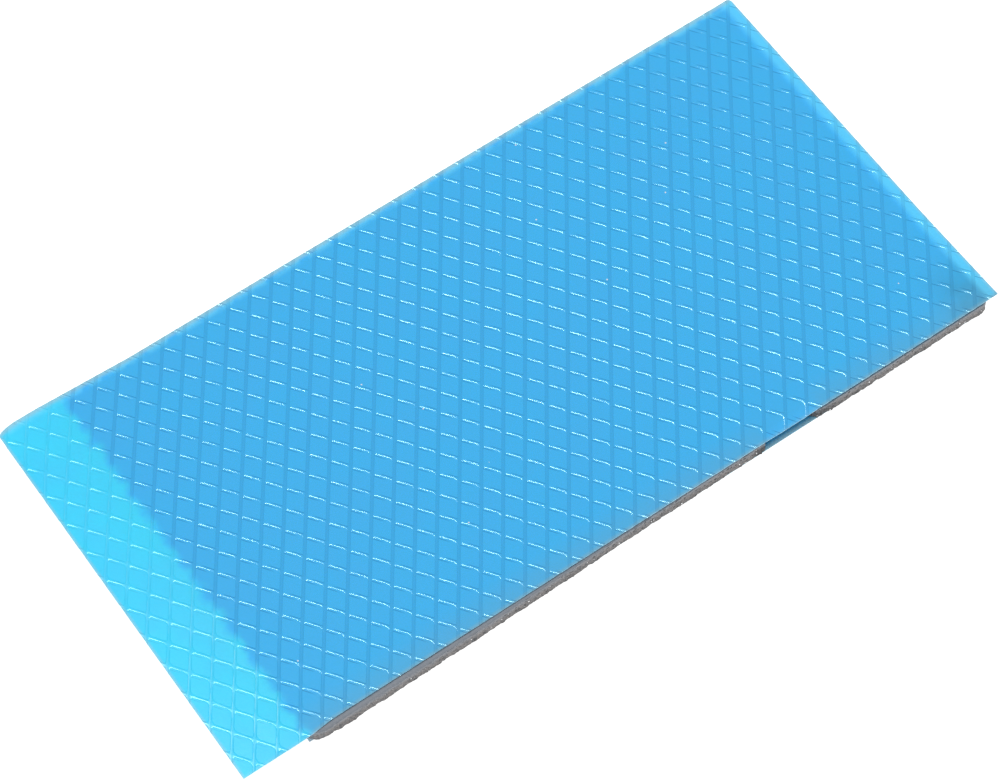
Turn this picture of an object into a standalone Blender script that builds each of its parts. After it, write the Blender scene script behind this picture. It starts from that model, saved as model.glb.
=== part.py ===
"""Thermal pad sheet: a soft grey silicone pad between two release films.

Units are metres and +Z is up. The origin lies under the middle of the cover
film's outline, on the level that the sheet rests on. The cover film's bare pull
tab is at -X. The pad's hand-cut side, which bulges past both films, is at -Y.
"""

from math import cos, pi, radians, sin

import bmesh
import bpy

# Cover film, on top
FILM_LENGTH = 0.100
FILM_WIDTH = 0.050
FILM_THICKNESS = 0.00015

# How far the cover film reaches past the pad
TAB_LENGTH = 0.0083
END_LIP = 0.0016
FAR_LIP = 0.0007

# Pad
PAD_THICKNESS = 0.0020
PAD_EDGE_ROUNDING = 0.00020
TAB_CORNER_RADIUS = 0.0018
PAD_CORNER_RADIUS = 0.0004

# The pad's near side, measured outwards from the cover film's near edge
BULGE_AT_TAB = 0.00056
BULGE_PAST_NOTCH = 0.00008

# Notch in the pad's near side, where a sliver of it tore away
NOTCH_LENGTH = 0.0072
NOTCH_DEPTH = 0.0010
NOTCH_SLOPE = 0.0008
NOTCH_FROM_END = 0.0232

# Base film, underneath, its near edge just behind the cover film's
LINER_THICKNESS = 0.0001
LINER_SETBACK = 0.0001

# Air left between pieces that cling together
CLING_GAP = 0.00005

ARC_STEPS = 8
NEAR_SIDE_STEPS = 16
ROUNDING_SEGMENTS = 2

# Edges of the outlines
FILM_TAB_END = -FILM_LENGTH / 2
FILM_FAR_END = FILM_LENGTH / 2
FILM_NEAR = -FILM_WIDTH / 2
FILM_FAR = FILM_WIDTH / 2
PAD_TAB_END = FILM_TAB_END + TAB_LENGTH
PAD_FAR_END = FILM_FAR_END - END_LIP
PAD_FAR = FILM_FAR - FAR_LIP
NOTCH_END = PAD_FAR_END - NOTCH_FROM_END
NOTCH_START = NOTCH_END - NOTCH_LENGTH

# Heights of the undersides
PAD_LEVEL = LINER_THICKNESS + CLING_GAP
FILM_LEVEL = PAD_LEVEL + PAD_THICKNESS + CLING_GAP


def clear_scene():
    for thing in list(bpy.data.objects):
        bpy.data.objects.remove(thing, do_unlink=True)


def material(name, color, roughness, alpha=1.0):
    made = bpy.data.materials.new(name)
    made.use_nodes = True
    shader = made.node_tree.nodes["Principled BSDF"]
    shader.inputs["Base Color"].default_value = (*color, 1.0)
    shader.inputs["Roughness"].default_value = roughness
    shader.inputs["Metallic"].default_value = 0.0
    shader.inputs["Alpha"].default_value = alpha
    return made


def corner_arc(x, y, radius, start_degrees):
    """Quarter turn, counterclockwise, about a centre."""
    turn = [radians(start_degrees + 90 * step / ARC_STEPS) for step in range(ARC_STEPS + 1)]
    return [(x + radius * cos(angle), y + radius * sin(angle)) for angle in turn]


def bulging_side():
    """Near side from the tab corner to the notch, easing from full bulge to flush."""
    start = PAD_TAB_END + TAB_CORNER_RADIUS
    points = []
    for step in range(1, NEAR_SIDE_STEPS + 1):
        along = step / NEAR_SIDE_STEPS
        bulge = BULGE_AT_TAB * (1 + cos(pi * along)) / 2
        points.append((start + (NOTCH_START - start) * along, FILM_NEAR - bulge))
    return points


def pad_outline():
    """Counterclockwise from the rounded corner at the tab end of the near side."""
    near_past_notch = FILM_NEAR - BULGE_PAST_NOTCH
    notch_bottom = FILM_NEAR + NOTCH_DEPTH
    small = PAD_CORNER_RADIUS
    tab_corner_y = FILM_NEAR - BULGE_AT_TAB + TAB_CORNER_RADIUS
    outline = corner_arc(PAD_TAB_END + TAB_CORNER_RADIUS, tab_corner_y, TAB_CORNER_RADIUS, 180)
    outline += bulging_side()
    outline += [
        (NOTCH_START + NOTCH_SLOPE, notch_bottom),
        (NOTCH_END - NOTCH_SLOPE, notch_bottom),
        (NOTCH_END, near_past_notch),
    ]
    outline += corner_arc(PAD_FAR_END - small, near_past_notch + small, small, 270)
    outline += corner_arc(PAD_FAR_END - small, PAD_FAR - small, small, 0)
    outline += corner_arc(PAD_TAB_END + small, PAD_FAR - small, small, 90)
    return outline


def rectangle(left, right, near, far):
    return [(left, near), (right, near), (right, far), (left, far)]


def slab(name, outline, thickness, level, look, parent, rounding=0.0):
    """Outline extruded upwards, with the rim of both flat faces rounded if asked."""
    mesh = bpy.data.meshes.new(name)
    shape = bmesh.new()
    base = shape.faces.new([shape.verts.new((x, y, 0.0)) for x, y in outline])
    raised = bmesh.ops.extrude_face_region(shape, geom=[base])["geom"]
    lifted = [item for item in raised if isinstance(item, bmesh.types.BMVert)]
    bmesh.ops.translate(shape, verts=lifted, vec=(0.0, 0.0, thickness))
    if rounding:
        level_edges = [edge for edge in shape.edges if edge.verts[0].co.z == edge.verts[1].co.z]
        bmesh.ops.bevel(shape, geom=level_edges, offset=rounding, segments=ROUNDING_SEGMENTS,
                        profile=0.5, affect="EDGES")
    bmesh.ops.recalc_face_normals(shape, faces=shape.faces)
    shape.to_mesh(mesh)
    shape.free()
    mesh.materials.append(look)
    piece = bpy.data.objects.new(name, mesh)
    bpy.context.collection.objects.link(piece)
    piece.location = (0.0, 0.0, level)
    piece.parent = parent
    return piece


def build():
    clear_scene()
    sheet = bpy.data.objects.new("thermal_pad_sheet", None)
    bpy.context.collection.objects.link(sheet)

    blue = material("embossed blue film", (0.05, 0.39, 0.86), roughness=0.30, alpha=0.85)
    grey = material("filled silicone", (0.25, 0.26, 0.28), roughness=0.65)
    pale = material("smooth pale film", (0.35, 0.66, 0.80), roughness=0.20, alpha=0.60)

    liner_outline = rectangle(PAD_TAB_END, PAD_FAR_END, FILM_NEAR + LINER_SETBACK, PAD_FAR)
    film_outline = rectangle(FILM_TAB_END, FILM_FAR_END, FILM_NEAR, FILM_FAR)
    slab("base_liner", liner_outline, LINER_THICKNESS, 0.0, pale, sheet)
    slab("silicone_pad", pad_outline(), PAD_THICKNESS, PAD_LEVEL, grey, sheet, PAD_EDGE_ROUNDING)
    slab("embossed_cover_film", film_outline, FILM_THICKNESS, FILM_LEVEL, blue, sheet)


build()
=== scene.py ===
"""Thermal pad sheet: a ribbed blue cover film over a grey silicone pad on a pale blue base film."""

import math

import bpy
from mathutils import Matrix, Vector


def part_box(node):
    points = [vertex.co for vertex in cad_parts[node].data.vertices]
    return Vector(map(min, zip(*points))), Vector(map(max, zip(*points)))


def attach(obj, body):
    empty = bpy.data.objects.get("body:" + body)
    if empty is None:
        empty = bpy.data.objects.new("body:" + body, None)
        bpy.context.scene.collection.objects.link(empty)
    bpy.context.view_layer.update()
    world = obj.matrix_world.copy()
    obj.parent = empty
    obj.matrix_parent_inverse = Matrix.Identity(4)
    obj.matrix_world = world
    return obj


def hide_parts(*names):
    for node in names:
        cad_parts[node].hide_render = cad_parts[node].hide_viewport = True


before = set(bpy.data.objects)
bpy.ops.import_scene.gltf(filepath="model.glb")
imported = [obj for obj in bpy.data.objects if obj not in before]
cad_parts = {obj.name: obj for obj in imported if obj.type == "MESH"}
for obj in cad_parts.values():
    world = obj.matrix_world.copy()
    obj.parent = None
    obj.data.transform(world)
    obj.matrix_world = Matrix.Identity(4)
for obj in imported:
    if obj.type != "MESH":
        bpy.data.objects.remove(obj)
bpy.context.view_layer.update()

bl_info = {
    "name": "Thermal Pad Sheet",
    "version": (1, 0, 0),
    "blender": (4, 5, 0),
    "location": "View3D > Sidebar > Thermal Pad",
    "description": "Models a silicone thermal pad between its two release films",
    "category": "Add Mesh",
}

COVER_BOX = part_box("embossed_cover_film")
PAD_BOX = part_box("silicone_pad")
LINER_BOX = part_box("base_liner")

# Pieces are shaped in millimetres, then brought down to metres
MM = 1000.0


class CoverFilmSettings(bpy.types.PropertyGroup):
    """Sizes and colours of the ribbed cover film."""

    diamond_length: bpy.props.FloatProperty(
        name="Diamond length",
        description="From corner to corner of one diamond, across the sheet",
        default=0.0041689,
        subtype="DISTANCE",
    )
    diamond_width: bpy.props.FloatProperty(
        name="Diamond width",
        description="From corner to corner of one diamond, along the sheet",
        default=0.0029138,
        subtype="DISTANCE",
    )
    rib_height: bpy.props.FloatProperty(
        name="Rib height",
        description="How far the ribs stand above the floor of each diamond",
        default=0.000021,
        subtype="DISTANCE",
    )
    sheet_thickness: bpy.props.FloatProperty(
        name="Sheet thickness",
        description="Thickness of the plastic itself, the same in ribs and diamonds",
        default=0.00012,
        subtype="DISTANCE",
    )
    # The blue over the pad is partly the grey pad seen through the film and partly painted shade; the paler
    # tab blue is painted light from the white table shining through
    colour_over_pad: bpy.props.FloatVectorProperty(
        name="Colour over the pad",
        description="The film's blue where the grey pad shows through it",
        default=(0.063, 0.552, 0.98),
        subtype="COLOR",
        size=3,
    )
    colour_of_tab: bpy.props.FloatVectorProperty(
        name="Colour of the tab",
        description="The film's blue where nothing lies behind it",
        default=(0.056, 0.722, 0.95),
        subtype="COLOR",
        size=3,
    )


class SiliconePadSettings(bpy.types.PropertyGroup):
    """Sizes and colours of the silicone pad."""

    side_roughness: bpy.props.FloatProperty(
        name="Side roughness",
        description="How far the cut side strays from an even surface",
        default=0.00009,
        subtype="DISTANCE",
    )
    colour: bpy.props.FloatVectorProperty(
        name="Colour",
        description="Grey of the filled silicone",
        default=(0.16, 0.156, 0.16),
        subtype="COLOR",
        size=3,
    )


class BaseFilmSettings(bpy.types.PropertyGroup):
    """Colours of the smooth base film."""

    # The darker blue inward from the near edge and the paler blue at the edge paint the shade under the pad's
    # edge, seen in the notch
    colour: bpy.props.FloatVectorProperty(
        name="Colour",
        description="Blue of the smooth film where the pad sticks to it",
        default=(0.09, 0.46, 0.68),
        subtype="COLOR",
        size=3,
    )
    edge_colour: bpy.props.FloatVectorProperty(
        name="Edge colour",
        description="Paler blue along its free edges",
        default=(0.50, 0.74, 0.82),
        subtype="COLOR",
        size=3,
    )


class StudioSettings(bpy.types.PropertyGroup):
    """Light and floor."""

    floor_glow: bpy.props.FloatProperty(
        name="Floor glow",
        description="Light that the white table gives from below",
        default=0.90,
    )
    sky_light: bpy.props.FloatProperty(
        name="Room light",
        description="Even white light from all round",
        default=0.69,
    )
    softbox_power: bpy.props.FloatProperty(
        name="Softbox power",
        description="Power of the compact softbox overhead",
        default=9.5,
        unit="POWER",
    )


# Rib cross-section in millimetres: distance from the crest line, and height as a share of the rib's
RIB_PROFILE = ((0.05, 1.0), (0.10, 0.835), (0.15, 0.481), (0.20, 0.0))
SHARP_CORNER_CUT = 0.30
BLUNT_CORNER_CUT = 0.55
BLUNT_CORNER_STEPS = 3

# Planes that round the film's two far corners: lean, and millimetres from the corner
FAR_CORNER_CUTS = ((math.radians(30), 0.42), (math.radians(60), 0.24))

# What bends the cover film, in the order of film_shares and in millimetres:
# name, size of the clouds or 0 for an even push, strength, middle level, direction
FILM_PUSHES = (
    ("waves", 6.0, 0.024, 0.5, "Z"),
    ("lift", 0.9, 0.06, 0.4, "Z"),
    ("tab", 3.0, 0.03, 0.5, "Z"),
    ("far_flare", 0, 0.46, 0.0, "Y"),
    ("near_flare", 0, -0.32, 0.0, "Y"),
    ("sag", 0, -0.15, 0.0, "Z"),
    ("corner", 0, 0.25, 0.0, "X"),
)

# How the roller laid the pattern on the film
PATTERN_SKEW = math.radians(45.0)
PATTERN_STRETCH = (1.00333, 0.99666, 1.0)
PATTERN_TURN = math.radians(0.256)
PATTERN_SHIFT = (-0.041, 1.304)


# Colours of the cover film besides its settings
# Painted light: the paler blue of the lip past the pad's end, where the table shines through
END_LIP_BACKLIT_BLUE = (0.13, 0.70, 1.0)
CLOUD_BLUE = (0.11, 0.46, 0.92)
SMUDGE_BLUE = (0.06, 0.36, 0.60)
HAZE_GREY = (0.25, 0.41, 0.46)
# Painted light: the paler blue along the far overhang, where the table shines through
FAR_LIP_BACKLIT_BLUE = (0.20, 0.78, 1.0)
RIM_BLUE = (0.36, 0.66, 0.78)
# Painted shade at the ribs' feet
RIB_SHADE = (0.45, 0.5, 0.6)
# Painted highlight on the tab's rib crests, standing for glints
RIB_PAINTED_HIGHLIGHT = (0.35, 0.88, 1.0)
CUT_EDGE_BLUE = (0.40, 0.68, 0.82)
DUST_WHITE = (0.85, 0.93, 0.97)
FILM_GLINT = (0.62, 0.97, 1.0, 1.0)

# Colours of the pad, the tints as shares of the colour under them
COOL_TINT = (0.66, 0.74, 0.80)
GRAIN_TINT = (1.62, 1.54, 1.46)
DEEP_TINT = (0.78, 0.77, 0.76)
PIT_TINT = (0.3, 0.3, 0.3)
HOLE_BLACK = (0.02, 0.025, 0.03)
# Painted light: paler, bluer top band of the pad's side
TOP_BAND_LIT_GREY = (0.21, 0.235, 0.27)
# Bright filler grains with painted glints on them
SPARKLE_WHITE = (0.95, 0.96, 0.97)
FILM_SHADE = (0.035, 0.12, 0.19)

# Colours of the base film besides its settings
CLOUD_TINT = (0.85, 0.85, 0.85)
LOOSE_END_WHITE = (0.80, 0.83, 0.85)

# Where the notch and the torn side round it begin and end along the sheet, in metres, each a soft step
NOTCH_START = (0.0175, 0.0190)
NOTCH_END = (0.0262, 0.0248)
TORN_START = (0.0160, 0.0176)
TORN_END = (0.0285, 0.0258)


def tinted(colour, shares):
    """A colour with each channel taken to the given share."""
    return tuple(channel * share for channel, share in zip(colour, shares))


def ramp(value, start, end):
    """How far a value has come from start to end, from 0 to 1."""
    return min(1.0, max(0.0, (value - start) / (end - start)))


def half_gap(settings):
    """Millimetres from the middle of a diamond to its sides."""
    half_width = settings.diamond_width * MM / 2
    half_length = settings.diamond_length * MM / 2
    return half_width * half_length / math.hypot(half_width, half_length)


def clear_selection():
    """Leaves object mode with nothing selected."""
    if bpy.context.object and bpy.context.object.mode != "OBJECT":
        bpy.ops.object.mode_set(mode="OBJECT")
    bpy.ops.object.select_all(action="DESELECT")


def make_active(piece):
    """Selects one piece alone and makes it the active one."""
    clear_selection()
    piece.select_set(True)
    bpy.context.view_layer.objects.active = piece


def pick_vertices(piece, wanted):
    """Goes into edit mode with only those vertices selected whose place passes the test."""
    bpy.ops.object.mode_set(mode="EDIT")
    bpy.ops.mesh.select_mode(type="VERT")
    bpy.ops.mesh.select_all(action="DESELECT")
    bpy.ops.object.mode_set(mode="OBJECT")
    for vertex in piece.data.vertices:
        vertex.select = wanted(vertex.co)
    bpy.ops.object.mode_set(mode="EDIT")


def settle(piece, place=(0, 0, 0), turn=0.0, size=(1, 1, 1)):
    """Moves, turns and sizes a piece, and puts all three into its mesh."""
    make_active(piece)
    piece.location = place
    piece.rotation_euler = (0, 0, turn)
    piece.scale = size
    bpy.ops.object.transform_apply(location=True, rotation=True, scale=True)


def repeat(piece, count, step):
    """Copies the piece count times, each copy a step further."""
    make_active(piece)
    bpy.ops.object.modifier_add(type="ARRAY")
    row = piece.modifiers[-1]
    row.count = count
    row.use_relative_offset = False
    row.use_constant_offset = True
    row.constant_offset_displace = step
    bpy.ops.object.modifier_apply(modifier=row.name)


def trim(piece, place, normal):
    """Cuts the piece with a plane and throws away the side that normal points to."""
    make_active(piece)
    bpy.ops.object.mode_set(mode="EDIT")
    bpy.ops.mesh.select_mode(type="VERT")
    bpy.ops.mesh.select_all(action="SELECT")
    bpy.ops.mesh.bisect(plane_co=place, plane_no=normal, clear_outer=True, threshold=0.0001)
    bpy.ops.object.mode_set(mode="OBJECT")


def sway(piece, weights, size, strength, middle, direction):
    """Pushes a weighted group of vertices in and out by clouds of the given size, or evenly if it is 0."""
    make_active(piece)
    bpy.ops.object.modifier_add(type="DISPLACE")
    push = piece.modifiers[-1]
    if size:
        push.texture = bpy.data.textures.new(weights, "CLOUDS")
        push.texture.noise_scale = size
        push.texture_coords = "LOCAL"
    push.vertex_group = weights
    push.direction = direction
    push.mid_level = middle
    push.strength = strength
    bpy.ops.object.modifier_apply(modifier=push.name)


def group(name, inputs, outputs):
    """A new shader node group with its named sockets, and its input and output nodes."""
    tree = bpy.data.node_groups.new(name, "ShaderNodeTree")
    for label, kind, value in inputs:
        socket = tree.interface.new_socket(label, in_out="INPUT", socket_type=kind)
        socket.default_value = value
    for label, kind in outputs:
        tree.interface.new_socket(label, in_out="OUTPUT", socket_type=kind)
    start = tree.nodes.new("NodeGroupInput")
    start.location = (-900, 0)
    end = tree.nodes.new("NodeGroupOutput")
    end.location = (700, 0)
    return tree, start, end


def node(tree, kind, place, settings=None, values=None, links=None):
    """Adds a node with its settings, its sockets' values and what is plugged into them."""
    made = tree.nodes.new(kind)
    made.location = place
    for name, value in (settings or {}).items():
        setattr(made, name, value)
    for name, value in (values or {}).items():
        made.inputs[name].default_value = value
    for name, source in (links or {}).items():
        tree.links.new(source, made.inputs[name])
    return made


def math_node(tree, place, operation, first, second=None, third=None):
    """A Math node. first, second and third are sockets or numbers."""
    made = tree.nodes.new("ShaderNodeMath")
    made.location = place
    made.operation = operation
    for slot, source in enumerate((first, second, third)):
        if source is None:
            continue
        if isinstance(source, (int, float)):
            made.inputs[slot].default_value = source
        else:
            tree.links.new(source, made.inputs[slot])
    return made.outputs[0]


def band(tree, place, source, low, high):
    """A soft step of a value, from 0 at low to 1 at high."""
    made = node(
        tree, "ShaderNodeMapRange", place,
        {"interpolation_type": "SMOOTHSTEP"},
        {"From Min": low, "From Max": high},
        {"Value": source},
    )
    return made.outputs["Result"]


def blend_colour(tree, place, mask, under, over, kind="MIX"):
    """A colour mix. under and over are sockets or colours, and mask is a socket or a number."""
    made = tree.nodes.new("ShaderNodeMix")
    made.location = place
    made.data_type = "RGBA"
    made.blend_type = kind
    for slot, source in ((0, mask), (6, under), (7, over)):
        if isinstance(source, bpy.types.NodeSocket):
            tree.links.new(source, made.inputs[slot])
        elif slot == 0:
            made.inputs[slot].default_value = source
        else:
            made.inputs[slot].default_value = (*source, 1.0)
    return made.outputs[2]


def multiply(tree, place, *sources):
    """The product of sockets or numbers, each Math node a step to the right of the one before."""
    made = sources[0]
    for step, source in enumerate(sources[1:]):
        made = math_node(tree, (place[0] + 180 * step, place[1]), "MULTIPLY", made, source)
    return made


def build_mottle():
    """Node group: slow uneven colour and fine grain, used by both films and the pad."""
    tree, start, end = group(
        "mottle",
        [
            ("Vector", "NodeSocketVector", (0, 0, 0)),
            ("Cloud size", "NodeSocketFloat", 0.01),
            ("Grain size", "NodeSocketFloat", 0.0002),
        ],
        [("Cloud", "NodeSocketFloat"), ("Grain", "NodeSocketFloat")],
    )
    cloud_scale = math_node(tree, (-650, 150), "DIVIDE", 1.0, start.outputs["Cloud size"])
    grain_scale = math_node(tree, (-650, -150), "DIVIDE", 1.0, start.outputs["Grain size"])
    cloud = node(
        tree, "ShaderNodeTexNoise", (-400, 150), {}, {"Detail": 2.0, "Roughness": 0.5},
        {"Vector": start.outputs["Vector"], "Scale": cloud_scale},
    )
    grain = node(
        tree, "ShaderNodeTexNoise", (-400, -150), {}, {"Detail": 4.0, "Roughness": 0.65},
        {"Vector": start.outputs["Vector"], "Scale": grain_scale},
    )
    tree.links.new(cloud.outputs["Fac"], end.inputs["Cloud"])
    tree.links.new(grain.outputs["Fac"], end.inputs["Grain"])
    return tree


def build_specks():
    """Node group: scattered round specks, some cells of a Voronoi pattern holding one each."""
    tree, start, end = group(
        "specks",
        [
            ("Vector", "NodeSocketVector", (0, 0, 0)),
            ("Spacing", "NodeSocketFloat", 0.001),
            ("Share", "NodeSocketFloat", 0.1),
            ("Radius", "NodeSocketFloat", 0.12),
            ("Pit radius", "NodeSocketFloat", 0.2),
        ],
        [("Mask", "NodeSocketFloat"), ("Pit", "NodeSocketFloat")],
    )
    scale = math_node(tree, (-650, 100), "DIVIDE", 1.0, start.outputs["Spacing"])
    cells = node(
        tree, "ShaderNodeTexVoronoi", (-420, 100), {"feature": "F1"}, {"Randomness": 0.9},
        {"Vector": start.outputs["Vector"], "Scale": scale},
    )
    near = math_node(tree, (-180, 150), "LESS_THAN", cells.outputs["Distance"], start.outputs["Radius"])
    chance = node(tree, "ShaderNodeSeparateColor", (-180, -50), {}, {}, {"Color": cells.outputs["Color"]})
    chosen = math_node(tree, (60, -50), "LESS_THAN", chance.outputs["Red"], start.outputs["Share"])
    mask = math_node(tree, (260, 50), "MULTIPLY", near, chosen)
    around = math_node(tree, (-180, 330), "LESS_THAN", cells.outputs["Distance"], start.outputs["Pit radius"])
    pit = math_node(tree, (260, 250), "MULTIPLY", around, chosen)
    tree.links.new(mask, end.inputs["Mask"])
    tree.links.new(pit, end.inputs["Pit"])
    return tree


def effect(tree, source, place, vector, values):
    """Places a shared node group in a material."""
    shared = {"node_tree": bpy.data.node_groups[source]}
    return node(tree, "ShaderNodeGroup", place, shared, values, {"Vector": vector})


def mottle(tree, place, vector, cloud_size, grain_size):
    """Slow uneven colour and fine grain. Sizes are in metres."""
    return effect(tree, "mottle", place, vector, {"Cloud size": cloud_size, "Grain size": grain_size})


def specks(tree, place, vector, spacing, share, radius, pit_radius):
    """Scattered specks, spacing in metres and radii as shares of it."""
    values = {"Spacing": spacing, "Share": share, "Radius": radius, "Pit radius": pit_radius}
    return effect(tree, "specks", place, vector, values)


def new_material(name):
    """An empty node material with its output and Object coordinates."""
    made = bpy.data.materials.new(name)
    made.use_nodes = True
    tree = made.node_tree
    tree.nodes.clear()
    output = tree.nodes.new("ShaderNodeOutputMaterial")
    output.location = (1100, 0)
    coordinates = tree.nodes.new("ShaderNodeTexCoord")
    coordinates.location = (-1300, 0)
    return made, tree, output, coordinates.outputs["Object"]


def slant_rows(settings):
    """For each way the ribs run, a vector and an offset whose sum is odd on the ribs' crests."""
    half_width = settings.diamond_width / 2
    half_length = settings.diamond_length / 2
    laid = (
        Matrix.Rotation(PATTERN_SKEW + PATTERN_TURN, 2)
        @ Matrix(((PATTERN_STRETCH[0], 0), (0, PATTERN_STRETCH[1])))
        @ Matrix.Rotation(-PATTERN_SKEW, 2)
    )
    back = laid.inverted().transposed()
    shift = Vector(PATTERN_SHIFT) / MM
    rows = []
    for side in (1, -1):
        row = back @ Vector((1 / half_width, side / half_length))
        rows.append(((*row, 0), -row.dot(shift)))
    return rows


def crest_distance(tree, place, source, row, settings):
    """Millimetres from the nearest crest line of one family of ribs, less than nothing on its near side."""
    vector, offset = row
    along = node(
        tree, "ShaderNodeVectorMath", place, {"operation": "DOT_PRODUCT"}, {1: vector}, {0: source},
    )
    count = math_node(tree, (place[0] + 180, place[1]), "ADD", along.outputs["Value"], offset)
    turns = math_node(tree, (place[0] + 360, place[1]), "WRAP", count, 2.0, 0.0)
    aside = math_node(tree, (place[0] + 540, place[1]), "SUBTRACT", turns, 1.0)
    return math_node(tree, (place[0] + 720, place[1]), "MULTIPLY", aside, half_gap(settings))


def foot_line(tree, place, distance, middle):
    """A thin soft line at the given distance from a crest."""
    rise = band(tree, place, distance, middle - 0.08, middle)
    fall = band(tree, (place[0], place[1] - 100), distance, middle + 0.08, middle)
    return math_node(tree, (place[0] + 180, place[1]), "MULTIPLY", rise, fall)


def film_ground(tree, settings, along, across, blotch, uneven):
    """The blue film's colour before its ribs are drawn, with painted light where the table shines through its
    free parts and painted shade over the pad, and a mask of where it has left its bare tab.
    """
    low, high = COVER_BOX
    # Painted light and shade: a soft ragged step from the tab, lit through by the table, to the shaded blue
    # over the pad
    strayed = math_node(tree, (-1300, 650), "MULTIPLY_ADD", blotch.outputs["Cloud"], 0.0026, along)
    past_tab = band(tree, (-1050, 900), strayed, PAD_BOX[0].x + 0.0004, PAD_BOX[0].x + 0.0019)
    # Painted light: the lip past the pad's end is paler, standing for table light shining through it
    before_end = band(tree, (-1050, 650), along, high.x - 0.0008, high.x - 0.0018)
    blue = blend_colour(tree, (-650, 700), before_end, END_LIP_BACKLIT_BLUE, settings.colour_over_pad)
    blue = blend_colour(tree, (-450, 750), past_tab, settings.colour_of_tab, blue)
    clouds = band(tree, (-850, 350), uneven.outputs["Cloud"], 0.3, 0.7)
    clouds = multiply(tree, (-650, 350), clouds, 0.12)
    blue = blend_colour(tree, (-250, 700), clouds, blue, CLOUD_BLUE)

    smudge = multiply(
        tree, (-1050, 1200),
        band(tree, (-1250, 1100), along, high.x - 0.0075, high.x - 0.0025),
        band(tree, (-1250, 1300), across, low.y + 0.0085, low.y + 0.0020),
        blotch.outputs["Cloud"],
        before_end,
    )
    blue = blend_colour(tree, (-150, 900), smudge, blue, SMUDGE_BLUE)

    near_rim = band(tree, (-1050, 0), across, low.y + 0.0005, low.y - 0.0001)
    near_haze = band(tree, (-1050, -250), across, low.y + 0.0040, low.y)
    haze = multiply(tree, (-850, -250), near_haze, 0.20)
    greyness = math_node(tree, (-850, -100), "MULTIPLY_ADD", near_rim, 0.38, haze)
    over_notch = multiply(
        tree, (-1150, -200),
        band(tree, (-1250, -100), along, *NOTCH_START),
        band(tree, (-1250, -300), along, *NOTCH_END),
    )
    kept = math_node(tree, (-550, 0), "MULTIPLY_ADD", over_notch, -0.7, 1.0)
    greyness = multiply(tree, (-650, -100), greyness, past_tab, kept)
    blue = blend_colour(tree, (-50, 650), greyness, blue, HAZE_GREY)

    # Painted light: patchy paler blue along the far edge, standing for table light shining through the
    # overhang
    far_lip_backlight = multiply(
        tree, (-650, -1150),
        band(tree, (-850, -1150), across, high.y - 0.0013, high.y - 0.0005),
        band(tree, (-1050, -1150), blotch.outputs["Cloud"], 0.38, 0.55),
        0.55,
    )
    blue = blend_colour(tree, (50, 750), far_lip_backlight, blue, FAR_LIP_BACKLIT_BLUE)
    rim = multiply(tree, (-650, -300), near_rim, 0.3)
    for edge in (
        band(tree, (-1050, -500), along, low.x + 0.00045, low.x - 0.00015),
        band(tree, (-1050, -750), along, high.x - 0.00045, high.x + 0.00015),
        band(tree, (-1050, -1000), across, high.y - 0.00078, high.y),
    ):
        rim = math_node(tree, (-450, -600), "MAXIMUM", rim, edge)
    return blend_colour(tree, (150, 600), rim, blue, RIM_BLUE), past_tab


def film_ribs(tree, settings, blue, flat_place, across, blotch, past_tab):
    """Paints the shade lines and highlight lines that light on the ribs' slopes would show, the shade mostly
    over the pad.
    """
    falling_row, rising_row = slant_rows(settings)
    falling = crest_distance(tree, (-1050, -1650), flat_place, falling_row, settings)
    rising = crest_distance(tree, (-1050, -1900), flat_place, rising_row, settings)
    from_rising = math_node(tree, (-150, -1900), "ABSOLUTE", rising)
    rising_band = band(tree, (-50, -1900), from_rising, 0.21, 0.12)
    rising_line = foot_line(tree, (-50, -2100), from_rising, 0.16)

    run = math_node(tree, (-350, -2300), "DIVIDE", rising, 2 * half_gap(settings))
    run = math_node(tree, (-150, -2300), "FRACT", run)
    first_half = band(tree, (50, -2300), run, 0.75, 0.30)
    last_half = band(tree, (50, -2500), run, 0.25, 0.60)
    near_line = multiply(tree, (250, -1650), foot_line(tree, (-50, -1650), falling, -0.37), first_half)
    far_line = multiply(tree, (250, -1450), foot_line(tree, (-50, -1450), falling, 0.10), last_half)
    falling_line = math_node(tree, (250, -1550), "MAXIMUM", near_line, far_line)
    beside = math_node(tree, (150, -1800), "SUBTRACT", 1.0, rising_band)
    falling_line = multiply(tree, (350, -1650), falling_line, beside, 0.85)

    # Painted shade: dark lines at the ribs' feet, along the rising ribs and beside the glints, mostly over
    # the pad
    dark = math_node(
        tree, (550, -2000), "MAXIMUM",
        multiply(tree, (350, -2100), rising_line, 0.34),
        multiply(tree, (350, -1900), rising_band, 0.22),
    )
    dark = math_node(tree, (750, -1800), "MAXIMUM", dark, falling_line)
    shown = math_node(tree, (750, -2000), "MULTIPLY_ADD", past_tab, 0.65, 0.35)
    dark = multiply(tree, (900, -1800), dark, shown)
    blue = blend_colour(tree, (550, 500), dark, blue, RIB_SHADE, "MULTIPLY")

    # Painted highlight: paler crest lines on the bare tab, patchy and strongest near its near corner,
    # standing for glints
    rib = node(tree, "ShaderNodeAttribute", (-1050, -1300), {"attribute_name": "rib"})
    crest = band(tree, (-800, -1500), rib.outputs["Fac"], 0.55, 0.95)
    crest = multiply(tree, (-450, -1500), crest, 0.12)
    light = math_node(tree, (150, -2400), "MAXIMUM", foot_line(tree, (-50, -2700), rising, -0.09), crest)
    patchy = band(tree, (-600, -1200), blotch.outputs["Cloud"], 0.36, 0.52)
    near_corner = band(tree, (-800, -1350), across, COVER_BOX[0].y + 0.026, COVER_BOX[0].y + 0.004)
    near_corner = math_node(tree, (-600, -1350), "MULTIPLY_ADD", near_corner, 0.45, 0.18)
    on_tab = math_node(tree, (-650, -1500), "SUBTRACT", 1.0, past_tab)
    light = multiply(tree, (-350, -1200), light, patchy, near_corner, on_tab)
    return blend_colour(tree, (750, 450), light, blue, RIB_PAINTED_HIGHLIGHT)


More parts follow.
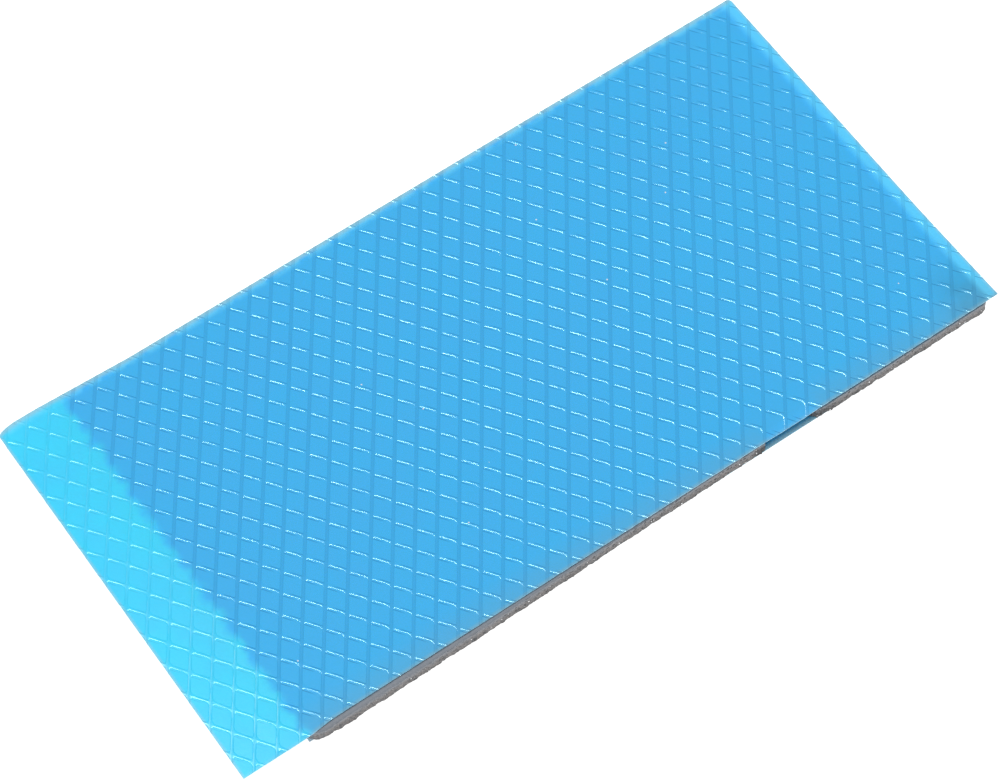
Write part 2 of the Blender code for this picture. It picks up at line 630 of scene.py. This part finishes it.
def blue_film_material(settings):
    """Glossy translucent blue film, with painted shade at the ribs' feet, painted highlights on the tab's
    ribs and painted light where the table shines through, and paler along its cut edges.
    """
    made, tree, output, place = new_material("ribbed_blue_film")
    flat = node(tree, "ShaderNodeAttribute", (-1750, 900), {"attribute_name": "flat_place"})
    axes = node(tree, "ShaderNodeSeparateXYZ", (-1500, 900), {}, {}, {"Vector": flat.outputs["Vector"]})
    along, across = axes.outputs["X"], axes.outputs["Y"]
    blotch = mottle(tree, (-1500, 600), place, 0.0022, 0.0008)
    uneven = mottle(tree, (-1050, 300), place, 0.0045, 0.00025)

    blue, past_tab = film_ground(tree, settings, along, across, blotch, uneven)
    blue = film_ribs(tree, settings, blue, flat.outputs["Vector"], across, blotch, past_tab)
    cut = node(tree, "ShaderNodeAttribute", (550, 100), {"attribute_name": "cut"})
    blue = blend_colour(tree, (950, 400), cut.outputs["Fac"], blue, CUT_EDGE_BLUE)
    dust = specks(tree, (750, 150), place, 0.002, 0.12, 0.05, 0.05)
    blue = blend_colour(tree, (1150, 350), dust.outputs["Mask"], blue, DUST_WHITE)

    rough = band(tree, (-600, -2000), uneven.outputs["Grain"], 0.2, 0.8)
    on_tab = math_node(tree, (-600, -2200), "SUBTRACT", 1.0, past_tab)
    duller = math_node(tree, (-400, -2200), "MULTIPLY_ADD", on_tab, 0.05, 0.11)
    rough = math_node(tree, (-400, -2000), "MULTIPLY_ADD", rough, 0.03, duller)
    bump = node(
        tree, "ShaderNodeBump", (950, -300), {}, {"Strength": 0.15, "Distance": 0.00001},
        {"Height": uneven.outputs["Grain"]},
    )
    gloss = node(
        tree, "ShaderNodeBsdfPrincipled", (1400, 200), {}, {"IOR": 1.5, "Specular Tint": FILM_GLINT},
        {"Base Color": blue, "Roughness": rough, "Normal": bump.outputs["Normal"]},
    )
    through = node(
        tree, "ShaderNodeBsdfTranslucent", (1400, -350), {}, {},
        {"Color": blue, "Normal": bump.outputs["Normal"]},
    )
    both = node(tree, "ShaderNodeMixShader", (1750, 50), {}, {"Fac": 0.28})
    tree.links.new(gloss.outputs[0], both.inputs[1])
    tree.links.new(through.outputs[0], both.inputs[2])
    output.location = (1950, 50)
    tree.links.new(both.outputs[0], output.inputs["Surface"])
    return made


def silicone_material(settings):
    """Grey ceramic-filled silicone: mottled, with dark pits round bright filler grains that carry painted
    glints, and painted light on the top band of its side.
    """
    made, tree, output, place = new_material("grey_filled_silicone")
    grey = settings.colour
    top_height = PAD_BOX[1].z
    axes = node(tree, "ShaderNodeSeparateXYZ", (-1100, 600), {}, {}, {"Vector": place})
    along, across, height = axes.outputs["X"], axes.outputs["Y"], axes.outputs["Z"]
    uneven = mottle(tree, (-1100, 200), place, 0.0007, 0.00022)
    glitter = specks(tree, (-1100, -100), place, 0.0007, 0.9, 0.15, 0.27)
    pits = specks(tree, (-1100, -400), place, 0.0006, 0.8, 0.26, 0.3)

    cloud = band(tree, (-800, 300), uneven.outputs["Cloud"], 0.38, 0.62)
    grain = band(tree, (-800, 50), uneven.outputs["Grain"], 0.44, 0.58)
    colour = blend_colour(tree, (-550, 300), cloud, grey, tinted(grey, COOL_TINT))
    colour = blend_colour(tree, (-350, 250), grain, colour, tinted(grey, GRAIN_TINT))
    deep = band(tree, (-800, 1300), height, top_height - 0.0004, PAD_BOX[0].z + 0.0003)
    colour = blend_colour(tree, (-250, 400), deep, colour, DEEP_TINT, "MULTIPLY")

    torn = multiply(
        tree, (-550, 1600),
        band(tree, (-800, 1500), along, *TORN_START),
        band(tree, (-800, 1700), along, *TORN_END),
    )
    holes = band(tree, (-550, 1400), uneven.outputs["Grain"], 0.46, 0.54)
    holes = multiply(tree, (-350, 1500), holes, torn, 0.8)
    colour = blend_colour(tree, (-150, 450), holes, colour, HOLE_BLACK)

    # Painted light: the top millimetre of the side is paler and bluer, standing for light from above and from
    # the blue film
    lit_top_band = band(tree, (-800, 1000), height, top_height - 0.0010, top_height)
    lit_top_band = multiply(tree, (-550, 850), lit_top_band, 0.85)
    colour = blend_colour(tree, (-150, 250), lit_top_band, colour, TOP_BAND_LIT_GREY)

    strayed = math_node(tree, (-950, 700), "MULTIPLY_ADD", uneven.outputs["Cloud"], 0.0010, height)
    side = band(tree, (-800, 600), strayed, top_height + 0.0004, top_height)
    pitted = band(tree, (-550, -700), along, -0.040, 0.005)
    pitted = math_node(tree, (-350, -700), "MULTIPLY_ADD", pitted, 0.6, 0.4)
    pit = math_node(tree, (-550, -250), "MAXIMUM", pits.outputs["Mask"], glitter.outputs["Pit"])
    pit = multiply(tree, (-350, -250), pit, side, pitted)
    colour = blend_colour(tree, (50, 250), pit, colour, tinted(grey, PIT_TINT))
    # White specks low on the side and in the torn part: bright filler grains with painted glints on them
    low_down = band(tree, (-550, -500), height, top_height - 0.0005, top_height - 0.0011)
    low_down = math_node(tree, (-450, -600), "MAXIMUM", low_down, torn)
    sparkle = multiply(tree, (-350, -450), glitter.outputs["Mask"], low_down)
    colour = blend_colour(tree, (250, 250), sparkle, colour, SPARKLE_WHITE)

    edge = math_node(tree, (-800, 1100), "MULTIPLY_ADD", uneven.outputs["Cloud"], 0.0004, across)
    share = band(tree, (-350, 1150), along, -0.01, 0.03)
    shade = multiply(
        tree, (-350, 950),
        band(tree, (-550, 1000), edge, COVER_BOX[0].y + 0.00004, COVER_BOX[0].y + 0.00014),
        band(tree, (-800, 850), height, top_height - 0.00022, top_height - 0.00004),
        math_node(tree, (-250, 1100), "MULTIPLY_ADD", share, 0.60, 0.30),
    )
    colour = blend_colour(tree, (450, 300), shade, colour, FILM_SHADE)
    bump = node(
        tree, "ShaderNodeBump", (450, -250), {}, {"Strength": 0.7, "Distance": 0.00005},
        {"Height": uneven.outputs["Grain"]},
    )
    rubber = node(
        tree, "ShaderNodeBsdfPrincipled", (750, 100), {}, {"Roughness": 0.6, "IOR": 1.42},
        {"Base Color": colour, "Normal": bump.outputs["Normal"]},
    )
    tree.links.new(rubber.outputs[0], output.inputs["Surface"])
    return made


def pale_film_material(settings):
    """Smooth pale blue base film, glossy, a little uneven and letting light through, with painted shade
    darkening it inward from its near edge.
    """
    made, tree, output, place = new_material("smooth_pale_film")
    low, high = LINER_BOX
    uneven = mottle(tree, (-900, 100), place, 0.006, 0.0004)
    axes = node(tree, "ShaderNodeSeparateXYZ", (-900, 500), {}, {}, {"Vector": place})
    cloud = band(tree, (-600, 150), uneven.outputs["Cloud"], 0.3, 0.7)
    # Painted shade: darker inward from the near edge, paler at the free edge
    near_rim = band(tree, (-600, 500), axes.outputs["Y"], low.y + 0.0007, low.y + 0.0001)
    tab_rim = band(tree, (-600, 750), axes.outputs["X"], low.x + 0.0012, low.x + 0.0004)
    end_rim = band(tree, (-600, 1000), axes.outputs["X"], high.x - 0.0018, high.x - 0.0012)
    blue = blend_colour(tree, (-350, 300), cloud, settings.colour, tinted(settings.colour, CLOUD_TINT))
    blue = blend_colour(tree, (-150, 350), near_rim, blue, settings.edge_colour)
    blue = blend_colour(tree, (50, 350), tab_rim, blue, LOOSE_END_WHITE)
    blue = blend_colour(tree, (200, 350), end_rim, blue, LOOSE_END_WHITE)
    bump = node(
        tree, "ShaderNodeBump", (50, -200), {}, {"Strength": 0.15, "Distance": 0.00001},
        {"Height": uneven.outputs["Grain"]},
    )
    gloss = node(
        tree, "ShaderNodeBsdfPrincipled", (350, 200), {}, {"Roughness": 0.18, "IOR": 1.5},
        {"Base Color": blue, "Normal": bump.outputs["Normal"]},
    )
    through = node(tree, "ShaderNodeBsdfTranslucent", (350, -250), {}, {}, {"Color": blue})
    both = node(tree, "ShaderNodeMixShader", (700, 50), {}, {"Fac": 0.35})
    tree.links.new(gloss.outputs[0], both.inputs[1])
    tree.links.new(through.outputs[0], both.inputs[2])
    tree.links.new(both.outputs[0], output.inputs["Surface"])
    return made


def model_diamond(settings):
    """One diamond of the pattern: a recessed floor with rounded corners, and half of each rib round it."""
    half_width = settings.diamond_width * MM / 2
    half_length = settings.diamond_length * MM / 2
    height = settings.rib_height * MM

    clear_selection()
    bpy.ops.mesh.primitive_circle_add(vertices=4, radius=1, fill_type="NGON", location=(0, 0, 0))
    diamond = bpy.context.object
    diamond.name = "cover_film"
    first_inset, first_height = RIB_PROFILE[0]
    share = 1 - first_inset / half_gap(settings)
    settle(diamond, (0, 0, first_height * height), 0.0, (half_width * share, half_length * share, 1))

    pick_vertices(diamond, lambda place: abs(place.x) < 0.01)
    bpy.ops.mesh.bevel(offset=SHARP_CORNER_CUT, offset_type="OFFSET", segments=1, affect="VERTICES")
    pick_vertices(diamond, lambda place: abs(place.y) < 0.01)
    bpy.ops.mesh.bevel(
        offset=BLUNT_CORNER_CUT, offset_type="OFFSET", segments=BLUNT_CORNER_STEPS, affect="VERTICES",
    )
    bpy.ops.mesh.select_mode(type="FACE")
    bpy.ops.mesh.select_all(action="SELECT")
    for (inset, level), (next_inset, next_level) in zip(RIB_PROFILE, RIB_PROFILE[1:]):
        bpy.ops.mesh.inset(thickness=next_inset - inset, depth=(next_level - level) * height)
    bpy.ops.object.mode_set(mode="OBJECT")

    clear_selection()
    bpy.ops.mesh.primitive_circle_add(vertices=4, radius=1, fill_type="NOTHING", location=(0, 0, 0))
    crest = bpy.context.object
    settle(crest, (0, 0, height), 0.0, (half_width, half_length, 1))
    diamond.select_set(True)
    bpy.context.view_layer.objects.active = diamond
    bpy.ops.object.join()
    pick_vertices(diamond, lambda place: place.z < 0.001)
    bpy.ops.mesh.mark_sharp()
    pick_vertices(diamond, lambda place: place.z > first_height * height - 0.001)
    bpy.ops.mesh.fill(use_beauty=True)
    bpy.ops.mesh.select_all(action="SELECT")
    bpy.ops.mesh.normals_make_consistent(inside=False)
    bpy.ops.object.mode_set(mode="OBJECT")
    return diamond


def film_shares(place):
    """How much of each push in FILM_PUSHES a place on the film takes. Places are in millimetres."""
    width = (COVER_BOX[1].y - COVER_BOX[0].y) * MM
    from_tab = place.x - COVER_BOX[0].x * MM
    from_near = place.y - COVER_BOX[0].y * MM
    far_half = ramp(from_near, width / 2, width)
    near_half = ramp(from_near, width / 2, 0)
    return (
        1.0,
        ramp(from_near, 1.1, 0),
        ramp(from_tab, 10.5, 7.0),
        far_half * ramp(from_tab, 17.0, 5.0) * (0.1 + 0.9 * ramp(from_tab, 0, 1.8)),
        near_half * ramp(from_tab, 11.5, 8.0),
        ramp(from_near, 1.6, 0) * ramp(from_tab, 67.5, 70.0) * ramp(from_tab, 75.8, 73.0),
        ramp(from_near, 14.0, 0) * ramp(from_tab, 92.0, 100.0),
    )


class THERMALPAD_OT_cover_film(bpy.types.Operator):
    """Models the blue cover film with its diamond ribs"""

    bl_idname = "thermalpad.cover_film"
    bl_label = "Cover Film"

    def execute(self, context):
        settings = context.scene.cover_film_settings
        width = settings.diamond_width * MM
        length = settings.diamond_length * MM
        film = model_diamond(settings)
        across = math.ceil((COVER_BOX[1].x - COVER_BOX[0].x) * MM / width) // 2 + 2
        along = math.ceil((COVER_BOX[1].y - COVER_BOX[0].y) * MM / length) // 2 + 2
        repeat(film, 2, (width / 2, length / 2, 0))
        repeat(film, 2 * across + 1, (width, 0, 0))
        repeat(film, 2 * along + 1, (0, length, 0))
        settle(film, (-across * width, -along * length, 0))
        make_active(film)
        bpy.ops.object.mode_set(mode="EDIT")
        bpy.ops.mesh.select_all(action="SELECT")
        bpy.ops.mesh.remove_doubles(threshold=0.002)
        bpy.ops.mesh.normals_make_consistent(inside=False)
        bpy.ops.object.mode_set(mode="OBJECT")
        if film.data.polygons[0].normal.z < 0:
            bpy.ops.object.mode_set(mode="EDIT")
            bpy.ops.mesh.flip_normals()
            bpy.ops.object.mode_set(mode="OBJECT")

        settle(film, turn=-PATTERN_SKEW)
        settle(film, size=PATTERN_STRETCH)
        floor = COVER_BOX[1].z * MM - settings.rib_height * MM
        settle(film, (*PATTERN_SHIFT, floor), PATTERN_SKEW + PATTERN_TURN)
        trim(film, (COVER_BOX[0].x * MM, 0, 0), (-1, 0, 0))
        trim(film, (COVER_BOX[1].x * MM, 0, 0), (1, 0, 0))
        trim(film, (0, COVER_BOX[0].y * MM, 0), (0, -1, 0))
        trim(film, (0, COVER_BOX[1].y * MM, 0), (0, 1, 0))
        for side, corner in ((-1, COVER_BOX[0].x), (1, COVER_BOX[1].x)):
            for lean, cut in FAR_CORNER_CUTS:
                normal = Vector((side * math.sin(lean), math.cos(lean), 0))
                place = Vector((corner * MM - side * cut, COVER_BOX[1].y * MM, 0))
                trim(film, place, normal)

        rib = film.data.attributes.new("rib", "FLOAT", "POINT")
        for vertex, share in zip(film.data.vertices, rib.data):
            share.value = (vertex.co.z - floor) / (settings.rib_height * MM)

        self.lay(film)
        make_active(film)
        bpy.ops.object.modifier_add(type="SOLIDIFY")
        wall = film.modifiers[-1]
        wall.thickness = settings.sheet_thickness * MM
        wall.offset = -1
        wall.use_even_offset = True
        bpy.ops.object.modifier_apply(modifier=wall.name)
        cut = film.data.attributes.new("cut", "FLOAT", "FACE")
        for face, share in zip(film.data.polygons, cut.data):
            share.value = 1.0 if abs(face.normal.z) < 0.3 else 0.0
        settle(film, size=(1 / MM, 1 / MM, 1 / MM))
        bpy.ops.object.shade_smooth_by_angle(angle=math.radians(50), keep_sharp_edges=True)
        film.data.materials.clear()
        film.data.materials.append(blue_film_material(settings))
        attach(film, "root")
        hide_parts("embossed_cover_film")
        return {"FINISHED"}

    def lay(self, film):
        """Lets the film wave a little, sag over the notch, and flare at its unsupported ends."""
        flat = film.data.attributes.new("flat_place", "FLOAT_VECTOR", "POINT")
        for vertex, kept in zip(film.data.vertices, flat.data):
            kept.vector = vertex.co / MM
        groups = [film.vertex_groups.new(name=name) for name, *_ in FILM_PUSHES]
        for vertex in film.data.vertices:
            for weights, share in zip(groups, film_shares(vertex.co)):
                weights.add([vertex.index], share, "REPLACE")
        for push in FILM_PUSHES:
            sway(film, *push)


# Pad, in millimetres: rounding of its rims, and how fine its wall is
PAD_RIM = 0.20
PAD_ROWS = 12
LONGEST_STEP = 0.16

# How far its near corner stands out at the far end from the tab, and how round it is
END_REACH = 0.9
END_CORNER_RADIUS = 1.3


class THERMALPAD_OT_silicone_pad(bpy.types.Operator):
    """Models the grey silicone pad with its rough cut sides"""

    bl_idname = "thermalpad.silicone_pad"
    bl_label = "Silicone Pad"

    def execute(self, context):
        settings = context.scene.silicone_pad_settings
        pad = bpy.data.objects.new("silicone_slab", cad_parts["silicone_pad"].data.copy())
        context.collection.objects.link(pad)
        settle(pad, size=(MM, MM, MM))
        low = PAD_BOX[0].z * MM
        high = PAD_BOX[1].z * MM
        make_active(pad)
        bpy.ops.object.mode_set(mode="EDIT")
        bpy.ops.mesh.select_all(action="SELECT")
        bpy.ops.mesh.remove_doubles(threshold=0.002)
        pick_vertices(pad, lambda place: abs(place.z - low - PAD_RIM) > 0.01)
        bpy.ops.mesh.delete(type="VERT")
        bpy.ops.mesh.select_all(action="SELECT")
        bpy.ops.mesh.delete(type="ONLY_FACE")
        bpy.ops.object.mode_set(mode="OBJECT")
        self.even_out(pad)
        self.round_corner(pad)
        settle(pad, (0, 0, -PAD_RIM))

        bpy.ops.object.mode_set(mode="EDIT")
        bpy.ops.mesh.select_all(action="SELECT")
        rise = (high - low) / PAD_ROWS
        for _ in range(PAD_ROWS):
            bpy.ops.mesh.extrude_region_move(TRANSFORM_OT_translate={"value": (0, 0, rise)})
        for level in (low, high):
            pick_vertices(pad, lambda place: abs(place.z - level) < 0.01)
            bpy.ops.mesh.edge_face_add()
        bpy.ops.mesh.select_all(action="SELECT")
        bpy.ops.mesh.normals_make_consistent(inside=False)
        for level in (low, high):
            pick_vertices(pad, lambda place: abs(place.z - level) < 0.01)
            bpy.ops.mesh.bevel(offset=PAD_RIM * 0.95, segments=3, affect="EDGES")
        bpy.ops.object.mode_set(mode="OBJECT")

        self.roughen(pad, settings, low, high)
        settle(pad, size=(1 / MM, 1 / MM, 1 / MM))
        bpy.ops.object.shade_smooth_by_angle(angle=math.radians(45))
        pad.data.materials.clear()
        pad.data.materials.append(silicone_material(settings))
        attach(pad, "root")
        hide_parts("silicone_pad")
        return {"FINISHED"}

    def even_out(self, pad):
        """Splits the outline's long edges until none is longer than the step."""
        for _ in range(12):
            longest = 0.0
            bpy.ops.object.mode_set(mode="EDIT")
            bpy.ops.mesh.select_mode(type="EDGE")
            bpy.ops.mesh.select_all(action="DESELECT")
            bpy.ops.object.mode_set(mode="OBJECT")
            points = pad.data.vertices
            for edge in pad.data.edges:
                size = (points[edge.vertices[0]].co - points[edge.vertices[1]].co).length
                edge.select = size > LONGEST_STEP
                longest = max(longest, size)
            if longest <= LONGEST_STEP:
                return
            bpy.ops.object.mode_set(mode="EDIT")
            bpy.ops.mesh.subdivide(number_cuts=1)
            bpy.ops.object.mode_set(mode="OBJECT")

    def round_corner(self, pad):
        """Lets the near corner at the far end from the tab stand out a little, and rounds it."""
        end = PAD_BOX[1].x * MM
        side = PAD_BOX[0].y * MM
        for vertex in pad.data.vertices:
            near_part = ramp(vertex.co.y, side + 12.0, side + 3.0)
            vertex.co.x += END_REACH * ramp(vertex.co.x, end - 3.0, end) * near_part
        end += END_REACH
        side = min(vertex.co.y for vertex in pad.data.vertices if vertex.co.x > end - 3 * END_CORNER_RADIUS)
        centre = Vector((end - END_CORNER_RADIUS, side + END_CORNER_RADIUS, 0))
        for vertex in pad.data.vertices:
            arm = vertex.co.xy - centre.xy
            if arm.x > 0 > arm.y:
                vertex.co.xy = centre.xy + arm.normalized() * min(arm.length, END_CORNER_RADIUS)

    def roughen(self, pad, settings, low, high):
        """Gives the walls their torn, pitted surface, smoother towards the top."""
        near_side = PAD_BOX[0].y * MM
        wall = pad.vertex_groups.new(name="wall")
        near = pad.vertex_groups.new(name="near")
        torn = pad.vertex_groups.new(name="torn")
        for vertex in pad.data.vertices:
            level = (vertex.co.z - low) / (high - low)
            weight = ramp(level, 1.02, 0.52)
            if level < 0.03 or level > 0.97:
                weight = 0.0
            wall.add([vertex.index], weight, "REPLACE")
            weight = ramp(level, 0.97, 0.6) * ramp(vertex.co.y, near_side + 2.5, near_side + 1.5)
            near.add([vertex.index], weight, "REPLACE")
            weight *= ramp(vertex.co.x, 15.5, 17.5) * ramp(vertex.co.x, 28.5, 25.6)
            torn.add([vertex.index], weight, "REPLACE")
        roughness = settings.side_roughness * MM
        sway(pad, "wall", 1.3, 1.6 * roughness, 0.5, "NORMAL")
        sway(pad, "wall", 0.3, 1.3 * roughness, 0.5, "NORMAL")
        sway(pad, "near", 1.5, 0.26, 0.5, "Y")
        sway(pad, "near", 0.45, 0.16, 0.5, "Y")
        sway(pad, "torn", 0.35, 0.6, 0.35, "Y")


class THERMALPAD_OT_base_film(bpy.types.Operator):
    """Finishes the smooth pale film under the pad"""

    bl_idname = "thermalpad.base_film"
    bl_label = "Base Film"

    def execute(self, context):
        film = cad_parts["base_liner"]
        film.data.materials.clear()
        film.data.materials.append(pale_film_material(context.scene.base_film_settings))
        return {"FINISHED"}


# Camera, from the corners of the cover film in the picture
CAMERA_PLACE = (-0.10248, -0.17061, 0.34842)
CAMERA_RIGHT = (0.8224, -0.5678, -0.0363)
CAMERA_DOWN = (-0.5096, -0.7066, -0.4910)
CAMERA_LENS = 129.65

# Towards the softbox from the middle of the sheet
SOFTBOX_DIRECTION = (0.065, 0.247, 0.966)
SOFTBOX_LENGTHWAYS = (-0.538, 0.816, -0.21)
SOFTBOX_DISTANCE = 1.5
SOFTBOX_SIZE = (0.46, 0.13)

# The table top lies this far under the base film
TABLE_GAP = 0.00001


class THERMALPAD_OT_stage(bpy.types.Operator):
    """Sets up the white table, the light and the camera"""

    bl_idname = "thermalpad.stage"
    bl_label = "Stage"

    def execute(self, context):
        settings = context.scene.studio_settings
        clear_selection()
        bpy.ops.mesh.primitive_plane_add(size=6, location=(0, 0, -TABLE_GAP))
        table = context.object
        table.name = "white_table"
        white = bpy.data.materials.new("white_table")
        white.use_nodes = True
        tree = white.node_tree
        paint = tree.nodes["Principled BSDF"]
        paint.inputs["Base Color"].default_value = (0.6, 0.6, 0.6, 1)
        paint.inputs["Roughness"].default_value = 0.8
        paint.inputs["Emission Color"].default_value = (1, 1, 1, 1)
        paint.inputs["Emission Strength"].default_value = settings.floor_glow
        # From underneath the table is clear, so that the base film can be seen
        surface = node(tree, "ShaderNodeNewGeometry", (0, 300))
        clear = node(tree, "ShaderNodeBsdfTransparent", (0, -600))
        either = node(tree, "ShaderNodeMixShader", (400, 0), {}, {}, {"Fac": surface.outputs["Backfacing"]})
        tree.links.new(paint.outputs[0], either.inputs[1])
        tree.links.new(clear.outputs[0], either.inputs[2])
        tree.links.new(either.outputs[0], tree.nodes["Material Output"].inputs["Surface"])
        table.data.materials.append(white)

        world = bpy.data.worlds.new("studio")
        world.use_nodes = True
        world.node_tree.nodes["Background"].inputs["Color"].default_value = (1, 1, 1, 1)
        world.node_tree.nodes["Background"].inputs["Strength"].default_value = settings.sky_light
        context.scene.world = world

        towards = Vector(SOFTBOX_DIRECTION).normalized()
        bpy.ops.object.light_add(type="AREA", location=towards * SOFTBOX_DISTANCE)
        softbox = context.object
        softbox.name = "softbox"
        sideways = towards.cross(Vector(SOFTBOX_LENGTHWAYS)).normalized()
        lengthways = sideways.cross(towards)
        softbox.rotation_euler = Matrix((lengthways, sideways, towards)).transposed().to_euler()
        softbox.data.shape = "RECTANGLE"
        softbox.data.size, softbox.data.size_y = SOFTBOX_SIZE
        softbox.data.energy = settings.softbox_power

        right = Vector(CAMERA_RIGHT).normalized()
        up = -Vector(CAMERA_DOWN)
        back = right.cross(up).normalized()
        up = back.cross(right)
        bpy.ops.object.camera_add(location=CAMERA_PLACE)
        camera = context.object
        camera.rotation_euler = Matrix((right, up, back)).transposed().to_euler()
        camera.data.lens = CAMERA_LENS
        camera.data.sensor_width = 36.0
        camera.data.sensor_fit = "HORIZONTAL"
        camera.data.clip_start = 0.01
        camera.data.clip_end = 20.0
        context.scene.camera = camera
        context.scene.view_settings.view_transform = "Standard"
        return {"FINISHED"}


class THERMALPAD_PT_panel(bpy.types.Panel):
    """Lists the pieces and their settings"""

    bl_label = "Thermal Pad"
    bl_idname = "THERMALPAD_PT_panel"
    bl_space_type = "VIEW_3D"
    bl_region_type = "UI"
    bl_category = "Thermal Pad"

    def draw(self, context):
        for operator, settings in (
            (THERMALPAD_OT_cover_film, context.scene.cover_film_settings),
            (THERMALPAD_OT_silicone_pad, context.scene.silicone_pad_settings),
            (THERMALPAD_OT_base_film, context.scene.base_film_settings),
            (THERMALPAD_OT_stage, context.scene.studio_settings),
        ):
            box = self.layout.box()
            for name in settings.__annotations__:
                box.prop(settings, name)
            box.operator(operator.bl_idname)


SETTINGS = {
    "cover_film_settings": CoverFilmSettings,
    "silicone_pad_settings": SiliconePadSettings,
    "base_film_settings": BaseFilmSettings,
    "studio_settings": StudioSettings,
}

OPERATORS_AND_PANEL = (
    THERMALPAD_OT_cover_film,
    THERMALPAD_OT_silicone_pad,
    THERMALPAD_OT_base_film,
    THERMALPAD_OT_stage,
    THERMALPAD_PT_panel,
)


def register():
    """Registers the settings, the operators and the panel."""
    for name, kind in SETTINGS.items():
        bpy.utils.register_class(kind)
        setattr(bpy.types.Scene, name, bpy.props.PointerProperty(type=kind))
    for kind in OPERATORS_AND_PANEL:
        bpy.utils.register_class(kind)


def unregister():
    """Takes back all that register did."""
    for kind in reversed(OPERATORS_AND_PANEL):
        bpy.utils.unregister_class(kind)
    for name, kind in reversed(SETTINGS.items()):
        delattr(bpy.types.Scene, name)
        bpy.utils.unregister_class(kind)


def main():
    register()
    build_mottle()
    build_specks()
    bpy.ops.thermalpad.stage()
    bpy.ops.thermalpad.base_film()
    bpy.ops.thermalpad.silicone_pad()
    bpy.ops.thermalpad.cover_film()


if __name__ == "__main__":
    main()
